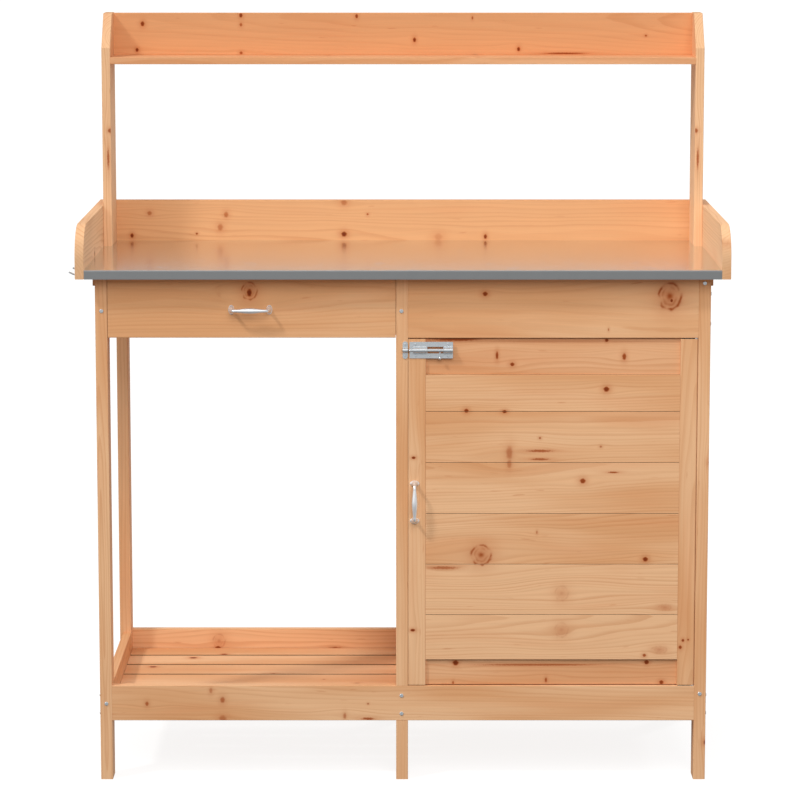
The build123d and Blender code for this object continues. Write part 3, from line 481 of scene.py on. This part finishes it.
fir("upper_back_board", scatter=0.0, red=0.25, pale=-1.5, pith=(0.040, 0.060),
    knots=[(0.05, 0.74, 0.0046, 0.90, 0.8, 0.0), (0.04, 0.12, 0.0036, 0.95, 0.8, 0.0),
           (0.22, 0.94, 0.0040, 0.90, 0.8, 0.0), (0.22, 0.72, 0.0034, 0.50, 0.8, 0.0),
           (0.22, 0.05, 0.0028, 0.60), (0.42, 0.92, 0.0038, 0.80, 0.7, 0.0),
           (0.62, 0.88, 0.0030, 0.60, 0.5, 0.0), (0.52, 0.36, 0.0042, 0.95, 0.7, 0.0),
           (0.70, 0.14, 0.0040, 0.95, 0.7, 0.0), (0.78, 0.04, 0.0016, 0.80, 26.0, 0.0),
           (0.92, 0.46, 0.0018, 0.70)])
fir("upper_shelf", red=0.45, scatter=0.4)

POST_KNOT = 0.50                      # height of a knot in each post, as a share
POST_STREAK = POST_KNOT - 0.12        # and of a streak under it
for side in ("left", "middle", "right"):
    for place in ("front", "back"):
        fir(f"leg_{place}_{side}", scatter=0.3, across=X)
for side, inward in (("left", 1), ("right", -1)):
    fir(f"side_board_{side}", along=Y, across=Z, scatter=0.5, pale=1.0)
    fir(f"post_{side}", along=Z, across=X, scatter=0.0, ring=0.0038, pale=1.2,
        knots=[(POST_KNOT, 0.5 + 0.4 * inward, 0.0040, 0.55),
               (POST_STREAK, 0.5 + 0.15 * inward, 0.0022, 0.50, 9.0, 0.0)])
    fir(f"lower_side_rail_{side}")
    fir(f"upper_side_rail_{side}")
    fir(f"drawer_side_{side}")
for plain in ("lower_middle_rail", "upper_middle_rail", "upper_back_rail", "worktop_board", "drawer_back",
              "drawer_bottom", "door_stop"):
    fir(plain)

FLOOR_PITCH = 0.075
FLOOR_FIRST = -0.132
WALL_BOARDS = 7
WALL_PITCH = (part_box("cabinet_back")[1].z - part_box("cabinet_back")[0].z) / WALL_BOARDS
# The slats' edges get painted shade, so the gaps between them look dark.
for floor_boards in ("shelf_slats", "cabinet_floor"):
    fir(floor_boards, along=X, across=Y, stack=(FLOOR_FIRST, FLOOR_PITCH), shade_edges=True)
for wall, wall_along in (("cabinet_divider", Y), ("cabinet_side", Y), ("cabinet_back", X)):
    fir(wall, along=wall_along, across=Z, stack=(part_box(wall)[0].z, WALL_PITCH))
# These pitches only part one batten of a node from the next.
SMALL_BATTENS, LARGE_BATTENS = (0.0, 0.06), (0.0, 0.3)
fir("cabinet_battens", along=Z, across=X, stack=SMALL_BATTENS)
fir("floor_cleats", along=Y, across=X, stack=SMALL_BATTENS)
fir("worktop_battens", along=Y, across=X, stack=LARGE_BATTENS)
fir("drawer_runners", along=Y, across=X, stack=LARGE_BATTENS)


# ---------------------------------------------------------------- metals
# The sheet is one metal: the lip's darker grey and the upward face's lighter grey are painted reflection
# of a dark front and a bright back.
LIP_SHADED_GREY = colour(150, 152, 153)
TOP_LIT_GREY = colour(230, 233, 236)
LIP_ROUGHNESS, TOP_SMOOTHER = 0.46, -0.29
ZINC = colour(204, 210, 214)
CHROME = colour(240, 242, 244)
UPWARD = (0.975, 0.998)               # the normal's upward part, where the lip's painted darker grey turns to the upward face's lighter grey
SPANGLES = 85.0                       # to the metre
PLATED_METALLIC = 0.70                # at 1 the handles mirror the wood and vanish
PLATE_PATCHES = 60.0                  # dull patches to the metre


def galvanised():
    """Galvanised sheet with faint spangle and scuffs: a smoother upward face given a lighter grey and the
    folded lip a darker grey, as painted reflection.
    """
    material, g, surface = new_material("galvanised_sheet")
    place = g.node("ShaderNodeTexCoord").outputs
    x, y, z = g.split(place["Object"])
    upward_lit = g.smooth(g.split(place["Normal"])[2], *UPWARD)
    flakes = g.cells(place["Object"], "3D", SPANGLES)
    flake = g.node("ShaderNodeSeparateColor", flakes["Color"]).outputs[0]
    rolled = g.noise(g.point(g.times(x, 5.0), g.times(y, 300.0), g.times(z, 300.0)), 2.0)
    scuff = g.smooth(g.noise(g.point(g.times(x, 34.0), g.times(y, 11.0), z), 5.0), 0.60, 0.72)
    tint = g.total(0.97, g.times(flake, 0.02), g.times(rolled, 0.01), g.times(scuff, -0.02))
    # Painted reflection: a lighter grey on the upward face and a darker grey on the lip.
    g.feed(surface.inputs["Base Color"], g.shaded(g.mix(upward_lit, LIP_SHADED_GREY, TOP_LIT_GREY), tint))
    g.feed(surface.inputs["Roughness"], g.total(g.times(upward_lit, TOP_SMOOTHER), LIP_ROUGHNESS,
                                                g.times(flake, 0.01), g.times(scuff, 0.03)))
    surface.inputs["Metallic"].default_value = 1.0
    return material


def plated(name, base, roughness, dull):
    """Plated metal: base colour, roughness, and how much rougher its dull patches are."""
    material, g, surface = new_material(name)
    spot = g.node("ShaderNodeTexCoord").outputs["Object"]
    patch = g.noise(spot, 3.0, scale=PLATE_PATCHES)
    fine = g.noise(spot, 2.0, scale=PLATE_PATCHES * 9)
    tint = g.total(0.96, g.times(patch, 0.03), g.times(fine, 0.01))
    g.feed(surface.inputs["Base Color"], g.shaded(base, tint))
    g.feed(surface.inputs["Roughness"], g.total(roughness, g.times(g.smooth(patch, 0.4, 0.7), dull),
                                                g.times(fine, 0.02)))
    surface.inputs["Metallic"].default_value = PLATED_METALLIC
    return material


dress("worktop_sheet", galvanised())
zinc = plated("zinc_plate", ZINC, roughness=0.22, dull=0.06)
chrome = plated("satin_chrome", CHROME, roughness=0.28, dull=0.05)
for node in ("frame_screws", "door_screws", "drawer_screws", "bolt_plate", "bolt_guides", "bolt_keeper",
             "bolt_rod", "bolt_knob", "tool_hooks",
             "hinge_frame_leaves", "hinge_door_leaves", "hinge_pins"):
    dress(node, zinc)
for node in ("drawer_handle", "door_handle"):
    dress(node, chrome)


# ---------------------------------------------------------------- floor, light and camera
FLOOR_HALF = 150.0
FLOOR_GREY = (0.25, 0.25, 0.25, 1.0)
FLOOR_GLOW = 0.86                     # its own light keeps it pale under the bench
WHITE = (1.0, 1.0, 1.0, 1.0)
floor_mesh = bpy.data.meshes.new("floor")
floor_mesh.from_pydata([(-FLOOR_HALF, -FLOOR_HALF, 0), (FLOOR_HALF, -FLOOR_HALF, 0),
                        (FLOOR_HALF, FLOOR_HALF, 0), (-FLOOR_HALF, FLOOR_HALF, 0)], [], [(0, 1, 2, 3)])
floor = bpy.data.objects.new("floor", floor_mesh)
bpy.context.scene.collection.objects.link(floor)
floor_paint, _, floor_surface = new_material("pale_floor")
floor_surface.inputs["Base Color"].default_value = FLOOR_GREY
floor_surface.inputs["Emission Color"].default_value = WHITE
floor_surface.inputs["Emission Strength"].default_value = FLOOR_GLOW
floor_surface.inputs["Roughness"].default_value = 0.9
floor_surface.inputs["Specular IOR Level"].default_value = 0.0
floor_mesh.materials.append(floor_paint)
floor.visible_diffuse = False
floor.visible_glossy = False

SIDE_FROM = Vector((-0.56, -0.42, 0.76)).normalized()
BACK_FROM = Vector((0.52, 0.70, 0.62)).normalized()
SKY_FROM = Vector((-0.20, -0.35, 0.92)).normalized()
WINDOW_FROM = Vector((-0.85, -0.45, 0.35)).normalized()
FRONT_FROM = Vector((0.10, -1.00, 0.15)).normalized()
BOUNCE_FROM = Vector((0.80, 0.30, -0.50)).normalized()
ROOM = 0.27                           # light from all round, with what is added to it
ABOVE, BELOW, TO_THE_RIGHT = 0.10, -0.10, -0.07
SKY, BOUNCE = 0.40, 0.40
MIRRORED_ROOM = 2.0                   # what shiny surfaces mirror, with what is added to it
MIRRORED_WINDOW, MIRRORED_FRONT, MIRRORED_BELOW = 0.55, 0.35, -0.22


def aim(holder, source):
    """Turn a lamp so that it shines from a direction, and put it in the scene."""
    holder.rotation_mode = "QUATERNION"
    holder.rotation_quaternion = source.to_track_quat("Z", "Y")
    bpy.context.scene.collection.objects.link(holder)


def sun(name, source, strength, softness):
    """A far lamp that shines from a direction; softness is its width in degrees."""
    lamp = bpy.data.lights.new(name, "SUN")
    lamp.energy = strength
    lamp.angle = math.radians(softness)
    aim(bpy.data.objects.new(name, lamp), source)


def softbox(name, place, target, power, width, height):
    """A rectangular lamp at a place, turned to a target; shiny surfaces do not mirror it."""
    lamp = bpy.data.lights.new(name, "AREA")
    lamp.shape = "RECTANGLE"
    lamp.size = width
    lamp.size_y = height
    lamp.energy = power
    holder = bpy.data.objects.new(name, lamp)
    holder.location = place
    holder.visible_glossy = False
    aim(holder, Vector(place) - Vector(target))


sun("side", SIDE_FROM, strength=1.20, softness=7.0)
sun("back", BACK_FROM, strength=0.45, softness=8.0)
softbox("front", place=(0.4, -3.1, 2.5), target=(0.0, 0.0, 0.3),
        power=57.0, width=1.8, height=2.0)


def studio():
    """A pale room, brighter up and to the left, seen as plain white by the camera."""
    world = bpy.data.worlds.new("studio")
    world.use_nodes = True
    g = Graph(world.node_tree)
    way = g.node("ShaderNodeTexCoord").outputs["Generated"]
    height = g.split(way)[2]

    def glow(source, power):
        """1 towards a source and less away from it, the quicker the higher the power."""
        facing = g.node("ShaderNodeVectorMath", way, tuple(source), operation="DOT_PRODUCT")
        return g.math("POWER", g.larger(facing.outputs["Value"], 0.0), power)

    room = g.total(ROOM, g.times(g.smooth(height, 0.10, 0.80), ABOVE),
                   g.times(glow(SKY_FROM, 3.0), SKY),
                   g.times(g.smooth(height, -0.05, -0.6), BELOW),
                   g.times(g.split(way)[0], TO_THE_RIGHT),
                   g.times(glow(BOUNCE_FROM, 2.0), BOUNCE))
    window = g.times(g.smooth(glow(WINDOW_FROM, 1.0), 0.80, 0.93), MIRRORED_WINDOW)
    mirrored = g.total(g.times(room, MIRRORED_ROOM), window,
                       g.times(g.smooth(height, 0.0, -0.3), MIRRORED_BELOW),
                       g.times(glow(FRONT_FROM, 6.0), MIRRORED_FRONT))
    path = g.node("ShaderNodeLightPath").outputs
    level = g.node("ShaderNodeMix", path["Is Glossy Ray"], None, room, mirrored).outputs[0]
    background = world.node_tree.nodes["Background"]
    shown = g.mix(path["Is Camera Ray"], g.point(level, level, level), WHITE)
    g.feed(background.inputs["Color"], shown)
    bpy.context.scene.world = world


studio()
bpy.context.scene.view_settings.view_transform = "Standard"

EYE = Vector((0.0, -5.890, 1.497))
PITCH_DOWN = 8.514                    # degrees
camera_data = bpy.data.cameras.new("camera")
camera_data.lens = 155.2
camera_data.sensor_width = 36.0
camera_data.shift_x = -0.0037
camera_data.clip_end = 400.0
camera = bpy.data.objects.new("camera", camera_data)
camera.location = EYE
camera.rotation_euler = (math.radians(90.0 - PITCH_DOWN), 0.0, 0.0)
bpy.context.scene.collection.objects.link(camera)
bpy.context.scene.camera = camera
